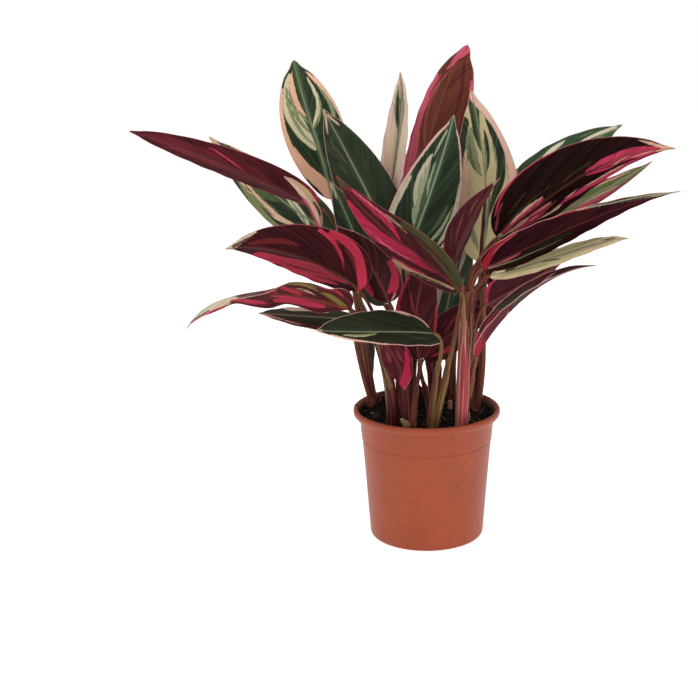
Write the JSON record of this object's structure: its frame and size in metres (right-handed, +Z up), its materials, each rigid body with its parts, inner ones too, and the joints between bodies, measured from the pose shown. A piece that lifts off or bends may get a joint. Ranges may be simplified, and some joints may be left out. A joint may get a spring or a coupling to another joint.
{
  "type": "potted stromanthe triostar",
  "caption": "Leafy foliage plant with long-stalked, pointed two-faced leaves, rooted in peat in a tapered round nursery pot.",
  "frame": {"origin": "centre of the pot's base, on the surface the pot stands on", "axes": "+Z up along the pot's axis; -Y towards the side that faces the viewer; +X to the viewer's right"},
  "size_m": [0.4651, 0.3947, 0.4606],
  "materials": {
    "pot": "matt terracotta-coloured plastic",
    "soil": "dark moist peat with pale fibres",
    "stub": "dry cut stalk",
    "stalks": "smooth reddish-brown and olive plant stalk with pink sheaths",
    "leaves": "satin leaf, deep green with cream and pink bands above, burgundy and crimson beneath"
  },
  "bodies": {
    "root": {"pot": "pot", "soil": "soil", "stub": "stub", "shoot_01": "stalks", "shoot_02": "stalks", "shoot_03": "stalks", "shoot_04": "stalks", "shoot_05": "stalks", "shoot_06": "stalks", "shoot_07": "stalks", "shoot_08": "stalks", "shoot_09": "stalks", "leaf_01": "leaves", "leaf_02": "leaves", "leaf_03": "leaves", "leaf_04": "leaves", "leaf_05": "leaves", "leaf_06": "leaves", "leaf_07": "leaves", "leaf_08": "leaves", "leaf_09": "leaves", "leaf_10": "leaves", "leaf_11": "leaves", "leaf_12": "leaves", "leaf_13": "leaves", "leaf_14": "leaves", "leaf_15": "leaves", "leaf_16": "leaves", "leaf_17": "leaves", "leaf_18": "leaves", "leaf_19": "leaves", "leaf_20": "leaves", "leaf_21": "leaves", "leaf_22": "leaves", "leaf_23": "leaves", "leaf_24": "leaves", "leaf_25": "leaves", "leaf_26": "leaves", "leaf_27": "leaves", "leaf_28": "leaves", "leaf_29": "leaves", "leaf_30": "leaves", "leaf_31": "leaves", "leaf_32": "leaves", "leaf_33": "leaves", "leaf_34": "leaves", "leaf_35": "leaves", "leaf_36": "leaves", "leaf_37": "leaves"}
  },
  "joints": []
}
